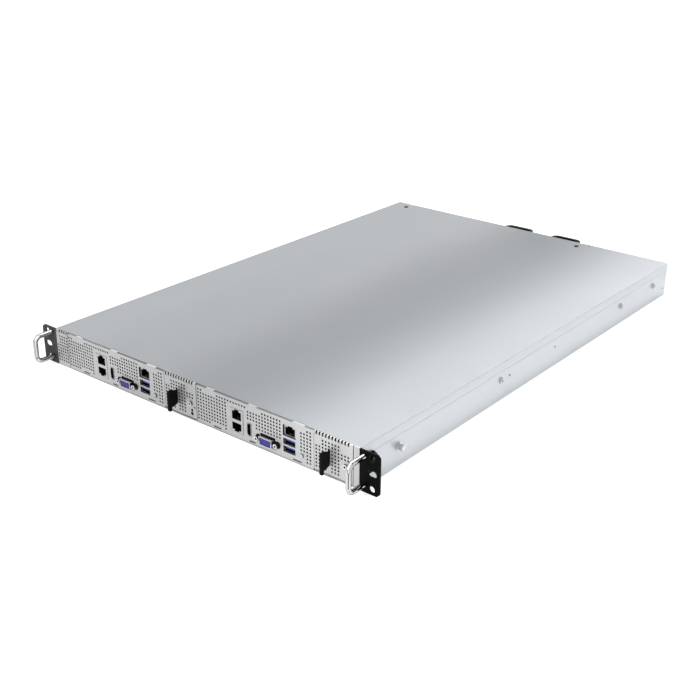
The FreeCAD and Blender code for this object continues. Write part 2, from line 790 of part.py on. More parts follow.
def make_faceplate(sled, x):
    """Perforated face of a sled with windows for its sockets."""
    body = new_body()
    left = "slide_gap"
    right = "face_width - slide_gap / 2"
    sketch = new_sketch(body, "y", FACE)
    rectangle(sketch, (left, right), ("face_low", "face_high"))
    margin = "seat_gap"
    rectangle_cutouts(sketch, (
        ((f"lan_stack_place - lan_stack_width / 2 - {margin}",
          f"lan_stack_place + lan_stack_width / 2 + {margin}"),
         (f"board_top - {margin}", f"lan_stack_high + {margin}")),
        (("usb_place - 8", "usb_place + 8"), ("lan_port_low", "lan_port_high")),
        (("usb_place - 7.6", "usb_place + 7.6"), ("usb_low - 0.7", "usb_low + usb_height + 0.7")),
        (("usb_place - 7.6", "usb_place + 7.6"), ("usb_high - 0.7", "usb_high + usb_height + 0.7")),
        (("24", "34.5"), ("2.9", "4.2")),
        (("73.5", "81.5"), ("2.9", "4.2")),
        (("130.5", "141.5"), ("2.9", "4.2")),
    ))
    near = f"video_place - video_width / 2 - {margin}"
    far = f"video_place + video_width / 2 + {margin}"
    polygon(sketch, (
        (far, f"video_low - {margin}"), (far, f"video_high + {margin}"),
        (f"{near} + {VIDEO_CHAMFER}", f"video_high + {margin}"),
        (near, f"video_high + {margin} - {VIDEO_CHAMFER}"),
        (near, f"video_low - {margin} + {VIDEO_CHAMFER}"),
        (f"{near} + {VIDEO_CHAMFER}", f"video_low - {margin}"),
    ))
    circle(sketch, "button_place", "button_rise", "button_radius + fit_gap")
    free_outline(sketch, vga_window())
    add(body, sketch, "face_sheet")
    add_block(body, (left, right), (FACE, f"{FACE_BACK} + flange_depth"),
              ("face_high - face_sheet", "face_high"))
    for low, high in TAB_PLACES:
        add_block(body, (low, high), (FACE, f"{FACE} + tab_depth"),
                  ("face_high - face_sheet", "face_high + tab_rise"))
    plate = perforate(body, 2.7, 38.7, FACE_HOLES)
    return finish(plate, f"{sled}_faceplate", x)


def make_handle_bracket(sled, x):
    """Perforated sheet beside the faceplate; its riveted clevis carries the latch lever."""
    body = new_body()
    left = "face_width + slide_gap / 2"
    right = "sled_pitch - slide_gap"
    sketch = new_sketch(body, "y", FACE)
    rectangle(sketch, (left, right), ("bracket_low", "chassis_height"))
    first = 159.8
    half_slot = "(lever_sheet / 2 + slide_gap)"
    rectangle(sketch, (f"lever_place - {half_slot}", f"lever_place + {half_slot}"), ("16.4", "lever_high"))
    circle(sketch, "195", "18.5", "screw_radius + fit_gap")
    circle(sketch, "201", "15.2", "1.1")
    circle(sketch, "197", "11.3", "1.5")
    circle(sketch, "196.8", "7.4", "1.9")
    add(body, sketch, "face_sheet")
    top_bend(body, (left, right))
    round_front_edge(body, "chassis_height", "face_sheet")
    top_slots(body, first, 11)
    for side in (-1, 1):
        inner = f"lever_place + {side} * {half_slot}"
        outer = f"lever_place + {side} * ({half_slot} + 1)"
        add_block(body, sorted_pair(inner, outer), (f"{FACE_BACK} - 0.2", f"{FACE} + lever_pivot_depth + 4"),
                  ("lever_pivot_rise - 4.5", "lever_pivot_rise + 4.5"))
    pin = new_sketch(body, "x", f"lever_place - {half_slot} - 1")
    circle(pin, f"{FACE} + lever_pivot_depth", "lever_pivot_rise", "lever_pin_radius")
    add(body, pin, f"2 * {half_slot} + 2")
    plate = perforate(body, first, 36.1, BRACKET_HOLES)
    return finish(plate, f"{sled}_handle_bracket", x)


def make_latch_lever(sled, x):
    """Flat black lever: a grip in front of the sheet and an eye on the pin behind it."""
    body = new_body()
    sketch = new_sketch(body, "x", "lever_place - lever_sheet / 2")
    nose = f"{FACE} - lever_reach"
    pivot = f"{FACE} + lever_pivot_depth"
    polygon(sketch, (
        (nose, "lever_high - 1.2"),
        (f"{nose} + 1.2", "lever_high"),
        (f"{nose} + 6", "lever_high"),
        (f"{nose} + 6.8", "lever_high - 1.6"),
        (f"{FACE} - 2.6", "lever_high - 1.8"),
        (f"{FACE} - 1.8", "lever_pivot_rise + 2.4"),
        (pivot, "lever_pivot_rise + 2.4"),
        (pivot, "lever_pivot_rise - 2.4"),
        (f"{FACE} - seat_gap", "lever_pivot_rise - 5"),
        (f"{FACE} - seat_gap", "13"),
        (f"{FACE} - 4.4", "11.4"),
        (f"{FACE} - 8.2", "11"),
        (f"{FACE} - 8.4", "7"),
        (f"{nose} + 1.4", "7"),
        (nose, "8.4"),
    ))
    add(body, sketch, "lever_sheet")
    eye = new_sketch(body, "x", "lever_place - lever_sheet / 2")
    circle(eye, pivot, "lever_pivot_rise", "lever_pin_radius + 1.8")
    add(body, eye, "lever_sheet")
    bore = new_sketch(body, "x", "lever_place - lever_sheet / 2 - 1")
    circle(bore, pivot, "lever_pivot_rise", "lever_pin_radius + fit_gap")
    remove(body, bore, "lever_sheet + 2")
    return finish(body, f"{sled}_latch_lever", x)


def make_lock_screw(sled, x):
    """Socket-head screw that holds the bracket sheet of a sled."""
    head = rod("y", ("195", f"{FACE} - 1.6", "18.5"), "2.7", "1.6")
    shank = rod("y", ("195", f"{FACE} - 0.5", "18.5"), "screw_radius", "7")
    socket = hexagon("y", ("195", f"{FACE} - 2.6", "18.5"), "1.4", "2.2")
    return finish(carve(join([head, shank]), [socket]), f"{sled}_lock_screw", x)


FAN_PLACES = (45.0, 160.0)
FAN_FRONT = "(sled_depth - 34)"
STANDOFFS = ((14, 20), (92, 20), (190, 20), (14, 200), (190, 200), (14, 355), (190, 355))


def make_tray(sled, x):
    """Sheet tray of a sled with raised feet for the board."""
    left = "guide_sheet / 2 + seat_gap"
    right = f"sled_pitch - ({left})"
    pieces = [block((left, right), (FACE_BACK, "sled_depth"), (TRAY_LOW, TRAY_TOP))]
    for low, high in ((left, f"{left} + tray_sheet"), (f"{right} - tray_sheet", right)):
        pieces.append(block((low, high), (FACE_BACK, "sled_depth"), (TRAY_LOW, "tray_high")))
    pieces.append(block((left, right), ("sled_depth - tray_sheet", "sled_depth"), (TRAY_LOW, "7.5")))
    for place, depth in STANDOFFS:
        pieces.append(rod("z", (place, depth, TRAY_LOW), "2.6", f"{BOARD_LOW} - {TRAY_LOW}"))
    tongue = [block(("86", "120"), ("sled_depth - 3", "sled_depth + 1"), (f"{TRAY_TOP} + 0.5", "9"))]
    return finish(carve(join(pieces), tongue), f"{sled}_tray", x)


MEMORY_PLACES = (20.0, 31.0, 166.0, 177.0)
MEMORY_FRONT = 120.0


def make_mainboard(sled, x):
    """Circuit board with the parts that are soldered to it."""
    top = "board_top"
    board = join([
        block(("4", "200"), ("board_front", "board_back"), (BOARD_LOW, top)),
        block(("88", "118"), ("board_back - 1", "sled_depth + 7.5"), (BOARD_LOW, top)),
    ])
    screws = [rod("z", (place, depth, BOARD_LOW + " - 1"), "screw_radius", "board_sheet + 2")
              for place, depth in STANDOFFS]
    pieces = [carve(board, screws)]
    for place in MEMORY_PLACES:
        socket = block((f"{place} - 3.3", f"{place} + 3.3"), (f"{MEMORY_FRONT} - 5", f"{MEMORY_FRONT} + 138"),
                       (top, f"{top} + 6"))
        groove = block((f"{place} - 0.8", f"{place} + 0.8"),
                       (f"{MEMORY_FRONT} - 0.3", f"{MEMORY_FRONT} + 133.3"),
                       (f"{top} + 1.5", f"{top} + 7"))
        pieces.append(carve(socket, [groove]))
    for index in range(6):
        low = 72 + 10.5 * index
        pieces.append(block((str(low), str(low + 8.5)), ("104", "112"), (top, f"{top} + 5.5")))
    for index in range(5):
        pieces.append(rod("z", (str(76 + 10.5 * index), "266", top), "3.4", "9"))
    pieces.append(block(("60", "82"), ("300", "322"), (top, f"{top} + 6")))
    pieces.append(block(("125", "149"), ("232", "240"), (top, f"{top} + 4.2")))
    pieces.append(rod("z", ("136", "316", top), "2", "2.6"))
    pieces.append(block(("button_place - 3", "button_place + 3"), ("board_front + 2", "board_front + 6"),
                        (top, "button_rise + 3")))
    pieces.append(block(("150", "172"), ("40", "62"), (top, f"{top} + 2")))
    return finish(group(pieces), f"{sled}_mainboard", x)


PROCESSOR = (102.0, 190.0)


def make_processor(sled, x):
    px, py = PROCESSOR
    frame = block((px - 30, px + 30), (py - 34, py + 34), ("board_top", "board_top + 3"))
    package = block((px - 22, px + 22), (py - 25, py + 25), ("board_top + 2", "board_top + 5"))
    return finish(join([frame, package]), f"{sled}_processor", x)


def make_heatsink(sled, x):
    """Finned block with fins along the air flow."""
    px, py = PROCESSOR
    body = new_body()
    low = "board_top + 5"
    add_block(body, (px - 42, px + 42), (py - 45, py + 45), (low, f"{low} + 5"))
    fin = new_sketch(body, "z", f"{low} + 4.5")
    rectangle(fin, (px - 42, px - 40.8), (py - 45, py + 45))
    first = add(body, fin, "22")
    pattern = body.newObject("PartDesign::LinearPattern", "fins")
    pattern.Originals = [first]
    pattern.Direction = (fin, ["H_Axis"])
    pattern.Length = 82.8
    pattern.Occurrences = 24
    body.Tip = pattern
    return finish(body, f"{sled}_heatsink", x)


def make_memory(sled, x):
    modules = []
    for place in MEMORY_PLACES:
        base = "board_top + 1.8"
        board = block((place - 0.6, place + 0.6), (MEMORY_FRONT, MEMORY_FRONT + 133), (base, f"{base} + 30"))
        pieces = [board]
        for index in range(8):
            low = MEMORY_FRONT + 6 + index * 15.5
            pieces.append(block((place - 1.6, place + 1.6), (low, low + 11),
                                (f"{base} + 10", f"{base} + 21")))
        modules.append(join(pieces))
    return finish(group(modules), f"{sled}_memory_modules", x)


def make_ssd(sled, x):
    low = "board_top + 2.7"
    board = block(("126", "148"), ("240.2", "318"), (low, f"{low} + 0.8"))
    chips = [block(("129", "145"), (str(start), str(start + 18)), (f"{low} + 0.8", f"{low} + 2"))
             for start in (246, 268, 292)]
    return finish(join([board] + chips), f"{sled}_ssd", x)


def jack_opening(centre, low, high, notch_low, notch_high, front, depth):
    """Opening of a network socket with its latch notch."""
    half = "jack_width / 2"
    return [
        block((f"{centre} - {half}", f"{centre} + {half}"), (f"{front} - 1", f"{front} + {depth}"),
              (low, high)),
        block((f"{centre} - 3", f"{centre} + 3"), (f"{front} - 1", f"{front} + {depth}"),
              (notch_low, notch_high)),
    ]


def make_lan_stack(sled, x):
    """Two network sockets, one over the other, in one metal shell."""
    centre = "lan_stack_place"
    shell = block((f"{centre} - lan_stack_width / 2", f"{centre} + lan_stack_width / 2"),
                  (SHELL_FRONT, f"{SHELL_FRONT} + lan_stack_depth"), ("board_top", "lan_stack_high"))
    tools = (jack_opening(centre, "21.4", "30.4", "29.4", "32.4", SHELL_FRONT, "15")
             + jack_opening(centre, "9.8", "17.8", "8", "11", SHELL_FRONT, "15"))
    return finish(carve(shell, tools), f"{sled}_lan_stack", x)


def make_video_port(sled, x):
    """Upright digital video socket with a centre tongue."""
    body = new_body()
    sketch = new_sketch(body, "y", SHELL_FRONT)

    def outline(inset, low, high):
        near = f"video_place - video_width / 2 + {inset}"
        far = f"video_place + video_width / 2 - {inset}"
        return ((far, f"{low} + {inset}"), (far, f"{high} - {inset}"),
                (f"{near} + {VIDEO_CHAMFER}", f"{high} - {inset}"),
                (near, f"{high} - {inset} - {VIDEO_CHAMFER}"),
                (near, f"{low} + {inset} + {VIDEO_CHAMFER}"),
                (f"{near} + {VIDEO_CHAMFER}", f"{low} + {inset}"))

    polygon(sketch, outline("0", "video_low", "video_high"))
    add(body, sketch, "13")
    hollow = new_sketch(body, "y", f"{SHELL_FRONT} - 1")
    polygon(hollow, outline("port_wall", "video_low", "video_high"))
    remove(body, hollow, "11")
    add_block(body, ("video_place - 0.3", "video_place + 0.9"),
              (f"{SHELL_FRONT} + 1.5", f"{SHELL_FRONT} + 11"),
              ("video_low + 2.2", "video_high - 2.2"))
    add_block(body, ("video_place - 2.4", "video_place + 2.4"), ("board_front + 0.5", f"{SHELL_FRONT} + 13"),
              ("board_top", "video_low + 0.2"))
    return finish(body, f"{sled}_video_port", x)


def d_shape(sketch, half_top, half_low, half_height):
    """Outline of a D-shaped video socket, wider at the top."""
    polygon(sketch, (
        (f"vga_place - {half_top}", f"vga_rise + {half_height}"),
        (f"vga_place - {half_low}", f"vga_rise - {half_height}"),
        (f"vga_place + {half_low}", f"vga_rise - {half_height}"),
        (f"vga_place + {half_top}", f"vga_rise + {half_height}"),
    ))


def make_vga_port(sled, x):
    """Analogue video socket: plate, D-shaped collar, pin insert and two jack screws."""
    body = new_body()
    plate_y = f"{FACE_BACK} + 0.2"
    plate = new_sketch(body, "y", plate_y)
    rectangle(plate, ("vga_place - 15.4", "vga_place + 15.4"), ("vga_rise - 6.2", "vga_rise + 6.2"))
    add(body, plate, "0.8")
    back = new_sketch(body, "y", plate_y)
    rectangle(back, ("vga_place - 14.5", "vga_place + 14.5"), ("board_top", "vga_rise + 5"))
    add(body, back, "12")
    collar = new_sketch(body, "y", f"{FACE} - 4.6")
    d_shape(collar, "8.5", "7.4", "4.2")
    add(body, collar, "7")
    hollow = new_sketch(body, "y", f"{FACE} - 5.6")
    d_shape(hollow, "8", "6.9", "3.7")
    remove(body, hollow, "5.4")
    insert = new_sketch(body, "y", f"{FACE} - 4.1")
    d_shape(insert, "7.4", "6.3", "3.1")
    pins = []
    for row in range(3):
        for column in range(5):
            centre = Vector(number("vga_place") - 4.6 + 2.3 * column - 0.55 * (row % 2),
                            number("vga_rise") + 1.9 - 1.9 * row, 0)
            pins.append(Part.Circle(centre, AXES["z"], 0.5))
    free_outline(insert, pins)
    add(body, insert, "4.6")
    for side in (-1, 1):
        centre = number(f"vga_place + {side} * vga_screw_spacing / 2")
        nut = new_sketch(body, "y", f"{FACE} - 4.2")
        radius = 2.7
        corners = [Vector(centre + radius * math.cos(math.radians(60 * k)),
                          number("vga_rise") + radius * math.sin(math.radians(60 * k)), 0) for k in range(6)]
        free_outline(nut, [Part.LineSegment(corners[k], corners[(k + 1) % 6]) for k in range(6)])
        circle(nut, f"vga_place + {side} * vga_screw_spacing / 2", "vga_rise", "1.3")
        add(body, nut, f"{plate_y} - {FACE} + 4.4")
    return finish(body, f"{sled}_vga_port", x)


def make_lan_usb_port(sled, x):
    """A network socket over two serial bus sockets, in one shell."""
    front = f"{FACE_BACK} + 0.2"
    centre = "usb_place"
    shell = block((f"{centre} - 8", f"{centre} + 8"), (front, f"{front} + 22"),
                  ("board_top", "lan_port_high + 0.4"))
    tools = jack_opening(centre, "26.6", "34.6", "33.6", "36.4", front, "15")
    sockets = []
    for low in ("usb_low", "usb_high"):
        tools.append(block((f"{centre} - usb_width / 2", f"{centre} + usb_width / 2"),
                           (f"{front} - 1", f"{front} + 14"), (low, f"{low} + usb_height")))
        sockets.append(block((f"{centre} - usb_width / 2 + 0.9", f"{centre} + usb_width / 2 - 0.9"),
                             (f"{front} + 0.6", f"{front} + 15"),
                             (f"{low} + usb_height - 2.5", f"{low} + usb_height - 0.7")))
    return finish(join([carve(shell, tools)] + sockets), f"{sled}_lan_usb_port", x)


def make_power_button(sled, x):
    """Round push button that slides in the faceplate."""
    cap = rod("y", ("button_place", f"{FACE} - 1.4", "button_rise"), "button_radius", "4.4")
    collar = rod("y", ("button_place", f"{FACE_BACK} + seat_gap", "button_rise"), "button_radius + 0.9",
                 "0.9")
    stem = rod("y", ("button_place", f"{FACE_BACK} + 0.5", "button_rise"), "1.2",
               f"board_front + 2 - button_travel - seat_gap - {FACE_BACK} - 0.5")
    dish = rod("y", ("button_place", f"{FACE} - 1.7", "button_rise"), "button_radius - 0.7", "0.6")
    return finish(carve(join([cap, collar, stem]), [dish]), f"{sled}_power_button", x)


# Fans

def rotor_shape(hub, reach, depth, blades):
    """A cup, open at the back, with slanted blades around it on the Y axis."""
    ring = Part.makeCylinder(reach, depth, Vector(), AXES["y"])
    cup = Part.makeCylinder(hub, depth, Vector(), AXES["y"])
    sheets = []
    for index in range(blades):
        blade = Part.makeBox(1.2, depth * 1.9, reach + 1)
        blade.translate(Vector(-0.6, -depth * 0.95, 0))
        blade.rotate(Vector(), AXES["z"], 38)
        blade.translate(Vector(0, depth / 2, 0))
        blade.rotate(Vector(), AXES["y"], 360 / blades * index)
        sheets.append(blade.common(ring))
    bore = Part.makeCylinder(number("shaft_radius + fit_gap / 2"), depth - 2, Vector(0, 2, 0), AXES["y"])
    return cup.multiFuse(sheets).cut(bore).removeSplitter()


def make_rotor(label, centre, hub, reach, depth):
    """A rotor whose shape is worked out here from the sheet; centre is three formulas."""
    rotor = doc.addObject("Part::Feature", "rotor")
    rotor.Shape = rotor_shape(hub, reach, depth, 7)
    rotor.Label = label
    for axis, formula in zip("xyz", centre):
        bind(rotor, f"Placement.Base.{axis}", formula)
    finished.append(rotor)
    return rotor


FAN_RISE = f"({TRAY_TOP} + fan_size / 2)"


def make_fans(sled, x):
    """Fan frames of a sled, each with a motor post at the back for its rotor."""
    frames = []
    half = "fan_size / 2"
    back = f"({FAN_FRONT} + fan_depth)"
    for place in FAN_PLACES:
        frame = block((f"{place} - {half}", f"{place} + {half}"), (FAN_FRONT, back),
                      (f"{FAN_RISE} - {half}", f"{FAN_RISE} + {half}"))
        bore = rod("y", (place, f"{FAN_FRONT} - 1", FAN_RISE), f"{half} - 1", "fan_depth + 2")
        hub = rod("y", (place, f"{back} - 3", FAN_RISE), "fan_hub_radius", "3")
        shaft = rod("y", (place, f"{back} - 3 - rotor_depth + 3", FAN_RISE), "shaft_radius",
                    "rotor_depth - 1")
        struts = [
            block((f"{place} - {half} + 0.5", f"{place} + {half} - 0.5"), (f"{back} - 2", back),
                  (f"{FAN_RISE} - 0.8", f"{FAN_RISE} + 0.8")),
            block((f"{place} - 0.8", f"{place} + 0.8"), (f"{back} - 2", back),
                  (f"{FAN_RISE} - {half} + 0.5", f"{FAN_RISE} + {half} - 0.5")),
        ]
        frames.append(join([carve(frame, [bore]), hub, shaft] + struts))
    finish(group(frames), f"{sled}_fan_housings", x)
    start = f"{back} - 3 - slide_gap - rotor_depth"
    for index, place in enumerate(FAN_PLACES, start=1):
        make_rotor(f"{sled}_fan_rotor_{index}", (f"{x} + {place}", start, f"{FAN_RISE} - chassis_height / 2"),
                   number("fan_hub_radius"), number("fan_size / 2 - 1.8"), number("rotor_depth"))


# Power

def make_power_board():
    """Upright board between the sleds and the power supplies, with its sockets."""
    front = "(sled_depth + 7.2)"
    back = f"({front} + board_sheet)"
    board = block((f"{FIRST_SLED} + 6", f"{FIRST_SLED} + 2 * sled_pitch - 6"), (front, back),
                  ("base_sheet", "38"))
    windows = []
    pieces = []
    for sled in range(2):
        start = f"{FIRST_SLED} + {sled} * sled_pitch"
        for place in FAN_PLACES:
            windows.append(block((f"{start} + {place} - 21", f"{start} + {place} + 21"),
                                 (f"{front} - 1", f"{back} + 1"), ("15", "36")))
        windows.append(block((f"{start} + 87.6", f"{start} + 118.4"), (f"{front} - 1", f"{back} + 1"),
                             (f"{BOARD_LOW} - 0.3", "board_top + 0.3")))
    pieces.append(carve(board, windows))
    for sled in range(2):
        start = f"{FIRST_SLED} + {sled} * sled_pitch"
        socket = block((f"{start} + 84", f"{start} + 122"), (f"{front} - 5", front),
                       (f"{BOARD_LOW} - 3", "board_top + 3"))
        groove = block((f"{start} + 87.6", f"{start} + 118.4"), (f"{front} - 6", f"{front} + 1"),
                       (f"{BOARD_LOW} - 0.3", "board_top + 0.3"))
        pieces.append(carve(socket, [groove]))
    for supply in range(2):
        centre = f"supply_first + {supply} * supply_pitch"
        socket = block((f"{centre} - 24", f"{centre} + 24"), (back, f"{SUPPLY_FRONT} - 0.5"), ("6", "16"))
        groove = block((f"{centre} - 18.4", f"{centre} + 18.4"), (f"{back} + 1", f"{SUPPLY_FRONT}"),
                       ("9.9", "12.1"))
        pieces.append(carve(socket, [groove]))
    return finish(group(pieces), "power_board")


INLET_PLACE = 18.6
INLET_RISE = 14.2
SUPPLY_FAN = -16.2
LATCH_Z = ("29", "36")


def make_supply_case(supply, x):
    """Closed sheet box of a power supply with its back wall and edge connector."""
    half = "supply_width / 2"
    low = TRAY_LOW
    high = f"({TRAY_LOW} + supply_height)"
    fan_rise = f"({TRAY_LOW} + supply_height / 2)"
    outer = block((f"-{half}", half), (SUPPLY_FRONT, REAR), (low, high))
    inner = block((f"supply_sheet - {half}", f"{half} - supply_sheet"),
                  (f"{SUPPLY_FRONT} + supply_sheet", f"{REAR} - supply_sheet"),
                  (f"{low} + supply_sheet", f"{high} - supply_sheet"))
    tools = [inner]
    through = f"{REAR} - supply_sheet - 1"
    tools.append(block((f"{INLET_PLACE} - inlet_width / 2 - 0.2", f"{INLET_PLACE} + inlet_width / 2 + 0.2"),
                       (through, f"{REAR} + 1"),
                       (f"{INLET_RISE} - inlet_height / 2 - 0.2", f"{INLET_RISE} + inlet_height / 2 + 0.2")))
    tools.append(block(("-28.8", "-22.8"), (through, f"{REAR} + 1"),
                       (f"{LATCH_Z[0]} - 0.4", f"{LATCH_Z[1]} + 0.4")))
    tools.append(block((f"-{half} - 1", f"supply_sheet - {half} + 1"), (f"{REAR} - 12", f"{REAR} - 4.4"),
                       (f"{LATCH_Z[0]} - 0.4", f"{LATCH_Z[1]} + 0.4")))
    vents = []
    for radius, count in ((9.5, 12), (14.0, 18)):
        for index in range(count):
            angle = 2 * math.pi * index / count
            u = SUPPLY_FAN + radius * math.cos(angle)
            w = radius * math.sin(angle)
            if -30.6 < u < -21 and w > 5.5:
                continue
            vents.append(rod("y", (f"{u:.4f}", through, f"{fan_rise} + {w:.4f}"), "1.7", "supply_sheet + 2"))
    for index in range(9):
        for row in range(3):
            vents.append(rod("y", (str(-28 + index * 7), f"{SUPPLY_FRONT} - 1", f"{low} + {20 + 6 * row}"),
                             "2", "supply_sheet + 2"))
    hub = rod("y", (str(SUPPLY_FAN), f"{REAR} - supply_sheet - 3", fan_rise), "7", "3.2")
    shaft = rod("y", (str(SUPPLY_FAN), f"{REAR} - supply_sheet - 12", fan_rise), "shaft_radius", "10")
    fingers = block(("-18", "18"), (f"{SUPPLY_FRONT} - 5.3", f"{SUPPLY_FRONT} + supply_sheet"),
                    ("10.2", "11.8"))
    box = carve(carve(outer, tools), [group(vents)])
    return finish(join([box, hub, shaft, fingers]), f"{supply}_case", x)


def make_supply_inlet(supply, x):
    """Mains inlet with three flat pins."""
    half_x = "inlet_width / 2"
    half_z = "inlet_height / 2"
    body = block((f"{INLET_PLACE} - {half_x}", f"{INLET_PLACE} + {half_x}"),
                 (f"{REAR} - 20", f"{REAR} + 0.4"),
                 (f"{INLET_RISE} - {half_z}", f"{INLET_RISE} + {half_z}"))
    flange = block((f"{INLET_PLACE} - {half_x} - 1.2", f"{INLET_PLACE} + {half_x} + 1.2"),
                   (REAR, f"{REAR} + 1.6"),
                   (f"{INLET_RISE} - {half_z} - 1.2", f"{INLET_RISE} + {half_z} + 1.2"))
    well = block((f"{INLET_PLACE} - 12.1", f"{INLET_PLACE} + 12.1"), (f"{REAR} - 15", f"{REAR} + 2"),
                 (f"{INLET_RISE} - 8.1", f"{INLET_RISE} + 8.1"))
    pins = [block((f"{INLET_PLACE} + {shift} - 1", f"{INLET_PLACE} + {shift} + 1"),
                  (f"{REAR} - 16", f"{REAR} - 3"),
                  (f"{INLET_RISE} + {rise} - 2", f"{INLET_RISE} + {rise} + 2"))
            for shift, rise in ((-7, -2), (0, 2), (7, -2))]
    return finish(join([carve(join([body, flange]), [well])] + pins), f"{supply}_inlet", x)


def make_supply_handle(supply, x):
    """Flat strap handle with two round corners and a foot at each end."""
    body = new_body()
    half = number("strap_span") / 2
    root = number(REAR)
    back = root + number("strap_reach")
    width = 4.0
    outer = 9.0
    inner = outer - width
    sketch = new_sketch(body, "z", "34.4")
    edges = []
    for sign in (-1, 1):
        edge = sign * half
        centre = Vector(sign * (half - outer), back - outer, 0)
        quarter = (0, math.pi / 2) if sign > 0 else (math.pi / 2, math.pi)
        edges.append(Part.ArcOfCircle(Part.Circle(centre, AXES["z"], outer), *quarter))
        edges.append(Part.ArcOfCircle(Part.Circle(centre, AXES["z"], inner), *quarter))
        edges.append(Part.LineSegment(Vector(edge, root, 0), Vector(edge, back - outer, 0)))
        inside = edge - sign * width
        edges.append(Part.LineSegment(Vector(inside, root, 0), Vector(inside, back - outer, 0)))
        edges.append(Part.LineSegment(Vector(edge, root, 0), Vector(inside, root, 0)))
    for level in (back, back - width):
        edges.append(Part.LineSegment(Vector(outer - half, level, 0), Vector(half - outer, level, 0)))
    free_outline(sketch, edges)
    add(body, sketch, "strap_sheet")
    return finish(body, f"{supply}_handle", x)


def make_supply_latch(supply, x):
    """Sideways latch: a finger tab outside and a hook through the side of the case."""
    half = "supply_width / 2"
    inside = f"{REAR} - supply_sheet - 0.4"
    pieces = [
        block(("-28.3", "-25.9"), (f"{inside} - 2", f"{REAR} + 16"), LATCH_Z),
        block((f"supply_sheet + 0.6 - {half}", "-25.9"), (f"{inside} - 2", inside), LATCH_Z),
        block((f"slide_gap / 4 - {half} - slide_gap", f"supply_sheet + 1.8 - {half}"),
              (f"{REAR} - 10", f"{REAR} - 4.9"), LATCH_Z),
        block((f"supply_sheet + 0.6 - {half}", f"supply_sheet + 1.8 - {half}"), (f"{REAR} - 10", inside),
              LATCH_Z),
    ]
    return finish(join(pieces), f"{supply}_latch", x)


def make_supply_rotor(supply, x):
    depth = 11.0
    centre = (f"{x} + {SUPPLY_FAN}", f"{REAR} - supply_sheet - 3 - slide_gap - {depth}",
              f"{TRAY_LOW} + supply_height / 2 - chassis_height / 2")
    make_rotor(f"{supply}_fan_rotor", centre, 7.5, 17.0, depth)


# The whole server

def make_server():
    make_chassis_base()
    make_rear_panel()
    make_front_filler()
    make_top_cover()
    make_cover_screws()
    make_side_screws()
    make_rail_studs()
    make_ear("-", "ear_left")
    make_ear("", "ear_right")
    make_ear_handle("-", "ear_handle_left")
    make_ear_handle("", "ear_handle_right")
    make_ear_screws()
    make_power_board()
    for index in range(2):
        sled = f"node_{index + 1}"
        x = f"{FIRST_SLED} + {index} * sled_pitch"
        for maker in (make_tray, make_faceplate, make_handle_bracket, make_latch_lever, make_lock_screw,
                      make_mainboard, make_processor, make_heatsink, make_memory, make_ssd, make_lan_stack,
                      make_video_port, make_vga_port, make_lan_usb_port, make_power_button, make_fans):
            maker(sled, x)
    for index in range(2):
        supply = f"psu_{index + 1}"
        x = f"supply_first + {index} * supply_pitch"
        for maker in (make_supply_case, make_supply_inlet, make_supply_handle, make_supply_latch,
                      make_supply_rotor):
            maker(supply, x)


def write_parts():
    """Check every object, then write one file for each sub-part."""
    doc.recompute()
    broken = [item.Name for item in doc.Objects if "Invalid" in item.State or "Error" in item.State]
    if broken:
        raise ValueError(f"failed objects: {broken}")
    for item in finished:
        if item.Shape.isNull() or not item.Shape.isValid():
            raise ValueError(f"{item.Label} has no valid shape")
    os.makedirs("parts", exist_ok=True)
    for item in finished:
        item.Shape.exportStep(f"parts/{item.Label}.step")
        print(item.Label, len(item.Shape.Solids), round(item.Shape.Volume, 1))


make_server()
write_parts()
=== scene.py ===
import math

import bmesh
import bpy
from mathutils import Matrix, Vector


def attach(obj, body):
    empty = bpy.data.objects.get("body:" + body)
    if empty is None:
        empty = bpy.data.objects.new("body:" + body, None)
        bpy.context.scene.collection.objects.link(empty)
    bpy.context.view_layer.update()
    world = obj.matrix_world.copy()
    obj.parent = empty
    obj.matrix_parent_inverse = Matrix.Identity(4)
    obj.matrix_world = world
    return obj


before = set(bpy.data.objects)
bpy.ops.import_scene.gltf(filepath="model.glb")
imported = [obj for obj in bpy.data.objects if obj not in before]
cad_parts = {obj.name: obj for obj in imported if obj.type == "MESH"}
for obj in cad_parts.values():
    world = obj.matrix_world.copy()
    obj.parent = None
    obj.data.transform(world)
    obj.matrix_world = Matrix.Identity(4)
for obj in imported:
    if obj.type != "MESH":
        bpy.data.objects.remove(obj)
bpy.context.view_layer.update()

# Places are in millimetres: x across, y back from the case front, z up from the underside of the case.

MM = 0.001
HALF_HEIGHT = 21.85
SLEDS = {1: -197.5, 2: 6.5}  # x of each sled's left edge
SUPPLIES = (1, 2)
ACROSS = (-225, 225)  # past both sides of the case
INSIDE = (-300, 300)
BOARD_TOP = 7.2
FACE_FRONT = -1.6  # y of the front of the perforated sheets
LAN_STACK = 56.7  # x of the sockets from the sled's left edge
DIGITAL_VIDEO = 73.35
ANALOGUE_VIDEO = 98.2
LAN_USB = 126.0
POWER_BUTTON = 141.5
LOCK_SCREW = 195.0


def place(x, y, z):
    """A point of the scene, in metres, from millimetres on the part."""
    return Vector((x * MM, y * MM, (z - HALF_HEIGHT) * MM))


def box(x_range, y_range, z_range):
    """The two far corners of a box, in metres, from its ranges in millimetres."""
    low, high = zip(x_range, y_range, z_range)
    return place(*low), place(*high)


def around(centre, half):
    return centre - half, centre + half


# Materials

NOISE_RANGE = (0.3, 0.7)  # most of a noise texture lies in this range
NOISE_ROUGHNESS = 0.55
SOFT_EDGE = 0.0002
BEVEL_SAMPLES = 4


